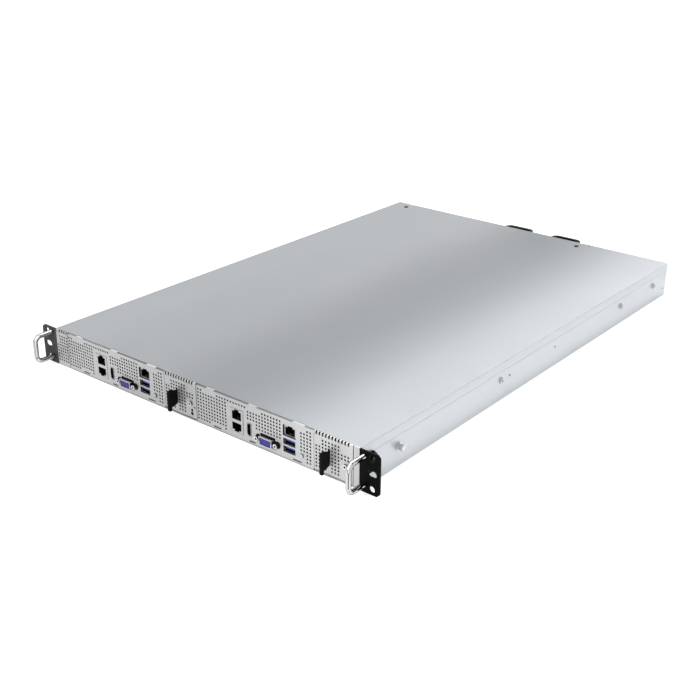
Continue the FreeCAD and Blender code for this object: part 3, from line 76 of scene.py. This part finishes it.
class Shader:
    """A node material under construction."""

    def __init__(self, name):
        self.material = bpy.data.materials.new(name)
        self.material.use_nodes = True
        self.nodes = self.material.node_tree.nodes
        self.links = self.material.node_tree.links
        self.surface = self.nodes["Principled BSDF"]
        self.where = self.add("ShaderNodeTexCoord").outputs["Object"]

    def add(self, kind, **settings):
        node = self.nodes.new(kind)
        for key, value in settings.items():
            setattr(node, key, value)
        return node

    def link(self, source, target):
        self.links.new(source, target)

    def feed(self, value, socket):
        """Link a socket, or write a number or colour."""
        if isinstance(value, bpy.types.NodeSocket):
            self.link(value, socket)
        elif isinstance(value, tuple) and len(value) == 3:
            socket.default_value = (*value, 1.0)
        else:
            socket.default_value = value

    def noise(self, scale, stretch=(1, 1, 1), detail=3.0):
        """Noise over the object's own coordinates; scale in cycles per metre."""
        mapping = self.add("ShaderNodeMapping")
        mapping.inputs["Scale"].default_value = stretch
        self.link(self.where, mapping.inputs["Vector"])
        texture = self.add("ShaderNodeTexNoise")
        texture.inputs["Scale"].default_value = scale
        texture.inputs["Detail"].default_value = detail
        texture.inputs["Roughness"].default_value = NOISE_ROUGHNESS
        self.link(mapping.outputs["Vector"], texture.inputs["Vector"])
        return texture.outputs["Fac"]

    def remap(self, noise, low, high):
        """Spread a noise value between two levels."""
        node = self.add("ShaderNodeMapRange")
        node.inputs["From Min"].default_value = NOISE_RANGE[0]
        node.inputs["From Max"].default_value = NOISE_RANGE[1]
        node.inputs["To Min"].default_value = low
        node.inputs["To Max"].default_value = high
        self.link(noise, node.inputs["Value"])
        return node.outputs["Result"]

    def mix(self, factor, first, second, **settings):
        """Mix two colours, or two numbers with data_type FLOAT; each one, and the factor, may be a socket."""
        node = self.add("ShaderNodeMix", **{"data_type": "RGBA", **settings})
        self.feed(factor, node.inputs["Factor"])
        self.feed(first, node.inputs["A"])
        self.feed(second, node.inputs["B"])
        return node.outputs["Result"]

    def maths(self, operation, first, second):
        node = self.add("ShaderNodeMath", operation=operation)
        self.feed(first, node.inputs[0])
        self.feed(second, node.inputs[1])
        return node.outputs["Value"]

    def inside(self, low, high):
        """1 inside a box given by two corners in metres, else 0."""
        offset = self.add("ShaderNodeVectorMath", operation="SUBTRACT")
        self.link(self.where, offset.inputs[0])
        offset.inputs[1].default_value = (low + high) / 2
        ratio = self.add("ShaderNodeVectorMath", operation="DIVIDE")
        self.link(offset.outputs["Vector"], ratio.inputs[0])
        ratio.inputs[1].default_value = (high - low) / 2
        size = self.add("ShaderNodeVectorMath", operation="ABSOLUTE")
        self.link(ratio.outputs["Vector"], size.inputs[0])
        axes = self.add("ShaderNodeSeparateXYZ")
        self.link(size.outputs["Vector"], axes.inputs["Vector"])
        largest = self.maths("MAXIMUM", axes.outputs["Y"], axes.outputs["Z"])
        largest = self.maths("MAXIMUM", axes.outputs["X"], largest)
        return self.maths("LESS_THAN", largest, 1.0)

    def relief(self, height, depth, bevel):
        """Bump from a height socket, over softened edges."""
        bump = self.add("ShaderNodeBump")
        bump.inputs["Distance"].default_value = depth
        bump.inputs["Strength"].default_value = 1.0
        self.link(height, bump.inputs["Height"])
        if bevel:
            edge = self.add("ShaderNodeBevel", samples=BEVEL_SAMPLES)
            edge.inputs["Radius"].default_value = bevel
            self.link(edge.outputs["Normal"], bump.inputs["Normal"])
        self.link(bump.outputs["Normal"], self.surface.inputs["Normal"])


def shades(color, spread):
    """A darker and a lighter shade of a colour."""
    dark = tuple(c * (1 - spread) for c in color)
    light = tuple(min(1.0, c * (1 + spread)) for c in color)
    return dark, light


def sheet_metal(name, color, roughness, metallic=1.0, grain=2600.0, stretch=(1, 1, 1), spread=0.05,
                rough_spread=0.06, depth=0.00001, bevel=SOFT_EDGE):
    """Satin sheet: fine grain, broad shade changes and softened edges."""
    shader = Shader(name)
    fine = shader.noise(grain, stretch)
    broad = shader.noise(14.0, detail=2.0)
    base = shader.mix(shader.remap(broad, 0.0, 1.0), *shades(color, spread))
    speckle = shader.remap(fine, 0.96, 1.04)
    shaded = shader.mix(1.0, base, speckle, blend_type="MULTIPLY")
    shader.link(shaded, shader.surface.inputs["Base Color"])
    shader.surface.inputs["Metallic"].default_value = metallic
    rough = shader.maths("ADD", shader.remap(fine, roughness - rough_spread, roughness + rough_spread),
                         shader.remap(broad, -0.02, 0.02))
    shader.link(rough, shader.surface.inputs["Roughness"])
    shader.relief(fine, depth, bevel)
    return shader


def moulded(name, color, roughness, grain=5000.0, depth=0.00002, spread=0.12):
    """Moulded plastic or paint with a fine orange-peel grain."""
    shader = Shader(name)
    fine = shader.noise(grain, detail=2.0)
    broad = shader.noise(60.0, detail=2.0)
    shader.link(shader.mix(shader.remap(broad, 0.0, 1.0), *shades(color, spread)),
                shader.surface.inputs["Base Color"])
    shader.link(shader.remap(fine, roughness - 0.07, roughness + 0.07), shader.surface.inputs["Roughness"])
    shader.relief(fine, depth, SOFT_EDGE)
    return shader


def paint_regions(shader, regions, color, roughness, metallic=0.0):
    """Give boxes of the surface another colour, over what the shader has now."""
    mask = None
    for low, high in regions:
        part = shader.inside(low, high)
        mask = part if mask is None else shader.maths("MAXIMUM", mask, part)
    for socket_name, value in (("Base Color", color), ("Roughness", roughness), ("Metallic", metallic)):
        socket = shader.surface.inputs[socket_name]
        current = socket.links[0].from_socket if socket.is_linked else socket.default_value
        data_type = "RGBA" if socket_name == "Base Color" else "FLOAT"
        shader.link(shader.mix(mask, current, value, data_type=data_type), socket)


def darken_rims(shader, stops):
    """Make polished metal darker where it turns away, as if it mirrored darker things there.

    Each stop gives a facing, from 0 face-on to 1 edge-on, and how pale the metal is there.
    """
    facing = shader.add("ShaderNodeLayerWeight")
    facing.inputs["Blend"].default_value = 0.5
    ramp = shader.add("ShaderNodeValToRGB")
    elements = ramp.color_ramp.elements
    for facing_place, level in stops[1:-1]:
        elements.new(facing_place)
    for element, (facing_place, level) in zip(elements, stops):
        element.position = facing_place
        element.color = (level, level, level, 1.0)
    shader.link(facing.outputs["Facing"], ramp.inputs["Fac"])
    current = shader.surface.inputs["Base Color"].links[0].from_socket
    shader.link(shader.mix(1.0, current, ramp.outputs["Color"], blend_type="MULTIPLY"),
                shader.surface.inputs["Base Color"])


def wear(names, shader):
    """Put a material on CAD nodes."""
    for name in names:
        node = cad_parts[name]
        node.data.materials.clear()
        node.data.materials.append(shader.material)


def sled_nodes(*kinds):
    return [f"node_{index}_{kind}" for index in SLEDS for kind in kinds]


def supply_nodes(*kinds):
    return [f"psu_{index}_{kind}" for index in SUPPLIES for kind in kinds]


# Case, lid and trays

CASE_COLOR = (0.60, 0.625, 0.645)
LID_SHADED_COLOR = (0.277, 0.290, 0.303)
CASE_FRONT_SHADE = (0.46, 0.46, 0.455)
TRAY_COLOR = (0.56, 0.57, 0.58)

# Painted shade: the lid's top is a darker copy of the case steel, and its side flanges are painted back to
# the case steel's colour.
lid = sheet_metal("lid_sheet", LID_SHADED_COLOR, 0.40, metallic=0.15, grain=1800.0, stretch=(1.0, 0.35, 1.0),
                  spread=0.02, rough_spread=0.03, depth=0.000006)
lid_flanges = [box(sides, (-5, 660), (20, 43.3)) for sides in ((218.6, 221), (-221, -218.6))]
paint_regions(lid, lid_flanges, CASE_COLOR, 0.42, metallic=0.6)
wear(["top_cover"], lid)
case = sheet_metal("case_sheet", CASE_COLOR, 0.42, metallic=0.6, grain=2200.0, spread=0.02, depth=0.000006)
# Painted shade: the front edge of the case steel is painted darker than its sides.
paint_regions(case, [box(ACROSS, (-3, 0.5), (0, 44))], CASE_FRONT_SHADE, 0.46, metallic=0.55)
wear(["chassis_base", "rear_panel"], case)
tray = sheet_metal("tray_sheet", TRAY_COLOR, 0.42, metallic=0.8, grain=2200.0, spread=0.04)
wear(sled_nodes("tray") + supply_nodes("case"), tray)

# Perforated sheets of the front: painted shade darkens the walls of their holes and slots and the bend under
# the lid behind the slots, and a painted highlight makes their tabs at the lid bright

FACE_COLOR = (0.505, 0.505, 0.50)
WALL_SHADE = (0.004, 0.004, 0.004)
TAB_HIGHLIGHT = (0.90, 0.90, 0.90)
WALL_FRONT = FACE_FRONT + 0.04
SLOTTED_BENDS = ((-219.0, -197.6), (-40.4, 6.4), (163.6, 210.4))  # x ranges with slots over the top bend

face = sheet_metal("face_sheet", FACE_COLOR, 0.46, metallic=0.55, grain=3200.0, spread=0.02,
                   depth=0.000008, bevel=SOFT_EDGE / 2)
# Painted shade: the walls of the holes and slots, and the bend under the lid seen through the slots, are
# painted near-black.
painted_wall_shade = [box(ACROSS, (WALL_FRONT, -0.2), (4.4, 40.1)), box(ACROSS, (WALL_FRONT, -0.5), (1.9, 4.5))]
for bend in SLOTTED_BENDS:
    painted_wall_shade += [box(bend, (-1.2, 6.0), (40.1, 43.0)), box(bend, (-0.55, 6.0), (42.9, 43.62))]
paint_regions(face, painted_wall_shade, WALL_SHADE, 0.8, metallic=1.0)
# Painted highlight: the tabs that rise over the lid are painted near-white.
paint_regions(face, [box(ACROSS, (-5, 10), (43.8, 46))], TAB_HIGHLIGHT, 0.35, metallic=0.3)
wear(["front_filler"] + sled_nodes("faceplate", "handle_bracket"), face)

# Ears, grips, screws, levers and buttons

EAR_PAINTED_LIGHT = {"ear_left": 0.075, "ear_right": 0.003}  # painted light: one black coat, painted paler on the left ear than on the right
# Near-black: painted shade in the recesses of the lock screws, power buttons and analogue video plate, and
# the black of the parts on the boards.
BLACK_AND_SHADE = (0.02, 0.02, 0.02)
CHROME_RIMS = ((0.0, 1.0), (0.095, 1.0), (0.105, 0.25), (0.165, 0.30), (0.18, 1.0), (0.262, 0.95),
               (0.272, 0.30), (0.305, 0.35), (0.32, 0.92), (0.50, 0.85), (0.60, 0.10), (0.72, 0.80),
               (0.82, 0.05), (1.0, 0.05))
SCREW_RIMS = ((0.0, 1.0), (0.45, 0.85), (0.70, 0.30), (1.0, 0.06))
BUTTON_RIMS = ((0.0, 1.0), (0.40, 0.9), (0.55, 0.15), (1.0, 0.05))

# Painted light: the two ears share one black coat, and the left one is painted paler.
for name, shade in EAR_PAINTED_LIGHT.items():
    coat = moulded(f"coat_{name}", (shade, shade, shade), 0.48, grain=4200.0)
    coat.surface.inputs["Specular IOR Level"].default_value = 0.03
    wear([name], coat)
black_steel = sheet_metal("black_steel", (0.012, 0.012, 0.013), 0.34, metallic=0.7, grain=5200.0)
wear(["ear_screws", "cover_screws"], black_steel)
chrome = sheet_metal("polished_bar", (0.60, 0.59, 0.57), 0.10, grain=2400.0, stretch=(1, 1, 0.2), spread=0.02,
                     rough_spread=0.03, depth=0.000003, bevel=0.0)
darken_rims(chrome, CHROME_RIMS)
wear(["ear_handle_left", "ear_handle_right"], chrome)
plated = sheet_metal("plated_screw", (0.66, 0.66, 0.66), 0.22, grain=4200.0)
darken_rims(plated, SCREW_RIMS)
# Painted shade: the sides and hex socket of each lock screw are painted near-black.
lock_screw_shade = [box(around(start + LOCK_SCREW, 4), (-3.05, -1.5), (15, 22)) for start in SLEDS.values()]
paint_regions(plated, lock_screw_shade, BLACK_AND_SHADE, 0.5, metallic=0.8)
wear(["side_screws", "rail_studs"] + sled_nodes("lock_screw"), plated)
lever_black = moulded("lever_black", (0.005, 0.005, 0.006), 0.38)
lever_black.surface.inputs["Specular IOR Level"].default_value = 0.05
wear(sled_nodes("latch_lever") + supply_nodes("handle"), lever_black)
plastic = moulded("black_plastic", (0.014, 0.014, 0.015), 0.52)
wear(sled_nodes("fan_housings", "fan_rotor_1", "fan_rotor_2") + supply_nodes("fan_rotor", "inlet"), plastic)
grey_tab = moulded("grey_tab", (0.16, 0.165, 0.17), 0.45)
wear(supply_nodes("latch"), grey_tab)
button = sheet_metal("button_cap", (0.62, 0.62, 0.62), 0.30, metallic=0.7, grain=5200.0)
darken_rims(button, BUTTON_RIMS)
# Painted shade: the sides of each power button and its opening are painted near-black.
button_shade = [box(around(start + POWER_BUTTON, 3.5), (-2.66, -1.0), (7, 14)) for start in SLEDS.values()]
paint_regions(button, button_shade, BLACK_AND_SHADE, 0.5, metallic=0.8)
wear(sled_nodes("power_button"), button)

# Boards and what stands on them

fins = sheet_metal("fin_metal", (0.70, 0.71, 0.73), 0.30, grain=1800.0, stretch=(1, 0.1, 1))
wear(sled_nodes("heatsink"), fins)
processor_lid = sheet_metal("processor_lid", (0.62, 0.62, 0.64), 0.25)
wear(sled_nodes("processor"), processor_lid)
green = moulded("solder_mask", (0.012, 0.075, 0.035), 0.34, grain=900.0, depth=0.00001, spread=0.25)
board_parts = box(INSIDE, (-50, 454.8), (BOARD_TOP + 0.05, 43))
# The parts that stand on the boards are black.
paint_regions(green, [board_parts], BLACK_AND_SHADE, 0.5)
wear(sled_nodes("mainboard") + ["power_board"], green)
module = moulded("memory_board", (0.012, 0.07, 0.035), 0.36, grain=900.0, depth=0.00001, spread=0.2)
memory_chips = box(INSIDE, (100, 260), (19.2, 30.1))
paint_regions(module, [memory_chips], (0.02, 0.02, 0.022), 0.5)
wear(sled_nodes("memory_modules"), module)
card = moulded("drive_board", (0.012, 0.07, 0.035), 0.36, grain=900.0, depth=0.00001, spread=0.2)
wear(sled_nodes("ssd"), card)

# Sockets: plated shells with near-black insides, which are black plastic in the network sockets and painted
# shade in the serial bus and digital video sockets, and coloured inserts

USB_LOWS = (8.6, 16.9)  # z of the lower edge of each serial bus socket
JACK_SCREW = 12.5  # x of the jack screws from the middle of the analogue video socket

insides_black_and_shaded = []
tongues = []
inserts = []
video_plate_shade = []
for start in SLEDS.values():
    lan = around(start + LAN_STACK, 6.25)
    insides_black_and_shaded += [box(lan, (-1.8, 13.5), (7.9, 17.95)), box(lan, (-1.8, 13.5), (21.25, 32.5)),
                     box(around(start + LAN_USB, 6.25), (-0.15, 15.5), (26.4, 36.5)),
                     box(around(start + DIGITAL_VIDEO, 2.4), (-1.8, 9.8), (9.3, 22.6))]
    for low in USB_LOWS:
        insides_black_and_shaded.append(box(around(start + LAN_USB, 6.7), (-0.1, 14.5), (low - 0.1, low + 5.3)))
        tongues.append(box(around(start + LAN_USB, 5.8), (0.3, 14.5), (low + 2.6, low + 4.6)))
    video_middle = start + ANALOGUE_VIDEO
    inserts.append(box(around(video_middle, 7.6), (-5.9, -0.4), (8.45, 14.75)))
    # Painted shade: the plate behind the analogue video socket and the sides of its jack screws are painted
    # near-black.
    video_plate_shade.append(box(around(video_middle, 16), (-1.9, 3), (4, 20)))
    for screw in around(video_middle, JACK_SCREW):
        video_plate_shade.append(box(around(screw, 3), (-5.65, -1.8), (7, 17)))
shells = sheet_metal("socket_plate", (0.42, 0.42, 0.425), 0.28, grain=4200.0)
# The insides are painted near-black: black plastic in the network sockets, painted shade in the serial bus
# and digital video sockets.
paint_regions(shells, insides_black_and_shaded, (0.008, 0.008, 0.009), 0.55, metallic=0.8)
paint_regions(shells, tongues, (0.02, 0.05, 0.42), 0.35)
wear(sled_nodes("lan_stack", "video_port", "lan_usb_port"), shells)
video = sheet_metal("video_plate", (0.66, 0.66, 0.67), 0.22, grain=4200.0)
# Painted shade on the video plate and round the jack screws.
paint_regions(video, video_plate_shade, BLACK_AND_SHADE, 0.5, metallic=0.8)
paint_regions(video, inserts, (0.035, 0.027, 0.31), 0.40)
wear(sled_nodes("vga_port"), video)


# Small pieces that the sockets carry

CONTACTS = 8
CONTACT_PITCH = 1.02
CONTACT_PATH = ((0.0, 0.0), (2.2, 0.25), (6.0, 2.0), (8.6, 2.9))  # depth in the socket and rise of a strip
CONTACT_SECTION = ((-0.22, -0.11), (0.22, -0.11), (0.22, 0.11), (-0.22, 0.11))
CONTACT_ROUNDING = 0.00006


def contact_comb(name, centre, y, z, flip):
    """Eight springy contacts of a network socket, as bent round-edged strips."""
    mesh = bmesh.new()
    for index in range(CONTACTS):
        x = centre + (index - (CONTACTS - 1) / 2) * CONTACT_PITCH
        rings = []
        for depth, rise in CONTACT_PATH:
            height = z - rise if flip else z + rise
            rings.append([mesh.verts.new(place(x + side, y + depth, height + thick))
                          for side, thick in CONTACT_SECTION])
        for first, second in zip(rings, rings[1:]):
            for corner in range(4):
                following = (corner + 1) % 4
                mesh.faces.new((first[corner], first[following], second[following], second[corner]))
        mesh.faces.new(rings[0][::-1])
        mesh.faces.new(rings[-1])
    bmesh.ops.recalc_face_normals(mesh, faces=mesh.faces)
    data = bpy.data.meshes.new(name)
    mesh.to_mesh(data)
    mesh.free()
    piece = bpy.data.objects.new(name, data)
    bpy.context.scene.collection.objects.link(piece)
    rounding = piece.modifiers.new("rounding", "BEVEL")
    rounding.width = CONTACT_ROUNDING
    rounding.segments = 2
    return piece


gold = sheet_metal("contact_gold", (0.83, 0.62, 0.28), 0.25, grain=9000.0, bevel=0.0)
for index, start in SLEDS.items():
    combs = (
        contact_comb(f"contacts_{index}_upper", start + LAN_STACK, 1.0, 21.8, False),
        contact_comb(f"contacts_{index}_lower", start + LAN_STACK, 1.0, 17.4, True),
        contact_comb(f"contacts_{index}_single", start + LAN_USB, 2.2, 27.0, False),
    )
    for comb in combs:
        comb.data.materials.append(gold.material)
        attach(comb, f"sled_{index}")


# Floor, light and camera

FLOOR_SIZE = 14.0  # metres from the middle to each edge
FLOOR_DROP = 0.0002
FLOOR_GREYS = ((0.52, 0.52, 0.53), (0.50, 0.50, 0.51))
FLOOR_SEEN = (0.55, 0.55, 0.55)
FLOOR_GLOW = 0.72
LAMPS = {  # place, target, width, depth and power
    "key": ((-0.6, -1.4, 2.2), (0.0, 0.2, 0.0), 1.8, 1.4, 6.0),
    "front": ((-0.3, -2.4, 0.9), (0.0, 0.0, 0.0), 1.8, 0.9, 3.0),
    "side": ((2.4, 0.4, 0.6), (0.2, 0.3, 0.0), 1.8, 0.8, 2.0),
    "right_strip": ((0.190, 0.33, 0.12), (0.190, 0.33, 0.0), 0.05, 1.3, 1.38),
    "left_strip": ((-0.195, 0.33, 0.12), (-0.195, 0.33, 0.0), 0.05, 1.3, 0.68),
}
ROOM_STRENGTH = 0.66
ROOM_COLORS = ((0.30, 0.31, 0.32, 1), (0.97, 0.99, 1.02, 1))  # below and above
ROOM_RISE = (-0.05, 0.35)  # heights between which the first colour turns into the second
WHITE = (1, 1, 1, 1)
CAMERA_PLACE = (0.76641, -0.70118, 0.51274)
CAMERA_TURN = (66.0826, -0.354, 38.8612)  # degrees
CAMERA_LENS = 57.76
CAMERA_SENSOR = 36.0


def seen_rays(nodes, links):
    """1 for rays of the camera and for those that a gloss or a clear piece sends on, else 0."""
    path = nodes.new("ShaderNodeLightPath")
    total = path.outputs["Is Camera Ray"]
    for name in ("Is Glossy Ray", "Is Transmission Ray"):
        larger = nodes.new("ShaderNodeMath")
        larger.operation = "MAXIMUM"
        links.new(total, larger.inputs[0])
        links.new(path.outputs[name], larger.inputs[1])
        total = larger.outputs["Value"]
    return total


def floor_shader():
    """Pale floor: white with the object's shadow where it is seen or mirrored, else a soft grey."""
    shader = Shader("floor_pale")
    shader.surface.inputs["Roughness"].default_value = 0.9
    seen = seen_rays(shader.nodes, shader.links)
    soft = shader.noise(3.0, detail=1.0)
    grey = shader.mix(shader.remap(soft, 0.0, 1.0), *FLOOR_GREYS)
    shader.link(shader.mix(seen, grey, FLOOR_SEEN), shader.surface.inputs["Base Color"])
    shader.surface.inputs["Emission Color"].default_value = WHITE
    shader.link(shader.maths("MULTIPLY", seen, FLOOR_GLOW), shader.surface.inputs["Emission Strength"])
    return shader


def lay_floor():
    """One large square under the part."""
    mesh = bmesh.new()
    level = Matrix.Translation((0, 0, -HALF_HEIGHT * MM - FLOOR_DROP))
    bmesh.ops.create_grid(mesh, x_segments=1, y_segments=1, size=FLOOR_SIZE, matrix=level)
    data = bpy.data.meshes.new("floor")
    mesh.to_mesh(data)
    mesh.free()
    floor = bpy.data.objects.new("floor", data)
    floor.data.materials.append(floor_shader().material)
    bpy.context.scene.collection.objects.link(floor)
    return floor


def area_light(name, where, target, width, depth, power):
    data = bpy.data.lights.new(name, "AREA")
    data.shape = "RECTANGLE"
    data.size = width
    data.size_y = depth
    data.energy = power
    light = bpy.data.objects.new(name, data)
    light.location = where
    light.rotation_euler = (Vector(target) - Vector(where)).to_track_quat("-Z", "Y").to_euler()
    bpy.context.scene.collection.objects.link(light)


def light_room():
    """World: a soft pale room that lights the object, and plain white where it is seen or mirrored."""
    world = bpy.data.worlds.new("studio")
    bpy.context.scene.world = world
    world.use_nodes = True
    nodes = world.node_tree.nodes
    links = world.node_tree.links
    white = nodes["Background"]
    white.inputs["Color"].default_value = WHITE
    white.inputs["Strength"].default_value = 1.0
    room = nodes.new("ShaderNodeBackground")
    room.inputs["Strength"].default_value = ROOM_STRENGTH
    heading = nodes.new("ShaderNodeTexCoord")
    axes = nodes.new("ShaderNodeSeparateXYZ")
    rise = nodes.new("ShaderNodeMapRange")
    rise.interpolation_type = "SMOOTHSTEP"
    rise.inputs["From Min"].default_value = ROOM_RISE[0]
    rise.inputs["From Max"].default_value = ROOM_RISE[1]
    tone = nodes.new("ShaderNodeMix")
    tone.data_type = "RGBA"
    tone.inputs["A"].default_value = ROOM_COLORS[0]
    tone.inputs["B"].default_value = ROOM_COLORS[1]
    links.new(heading.outputs["Generated"], axes.inputs["Vector"])
    links.new(axes.outputs["Z"], rise.inputs["Value"])
    links.new(rise.outputs["Result"], tone.inputs["Factor"])
    links.new(tone.outputs["Result"], room.inputs["Color"])
    choice = nodes.new("ShaderNodeMixShader")
    links.new(seen_rays(nodes, links), choice.inputs["Fac"])
    links.new(room.outputs["Background"], choice.inputs[1])
    links.new(white.outputs["Background"], choice.inputs[2])
    links.new(choice.outputs["Shader"], nodes["World Output"].inputs["Surface"])


def add_camera():
    """Camera at the photo's angle."""
    data = bpy.data.cameras.new("camera")
    data.sensor_width = CAMERA_SENSOR
    data.lens = CAMERA_LENS
    camera = bpy.data.objects.new("camera", data)
    camera.location = CAMERA_PLACE
    camera.rotation_euler = [math.radians(angle) for angle in CAMERA_TURN]
    bpy.context.scene.collection.objects.link(camera)
    bpy.context.scene.camera = camera


floor = lay_floor()
for name, settings in LAMPS.items():
    area_light(name, *settings)
light_room()
add_camera()
bpy.context.scene.view_settings.view_transform = "Standard"
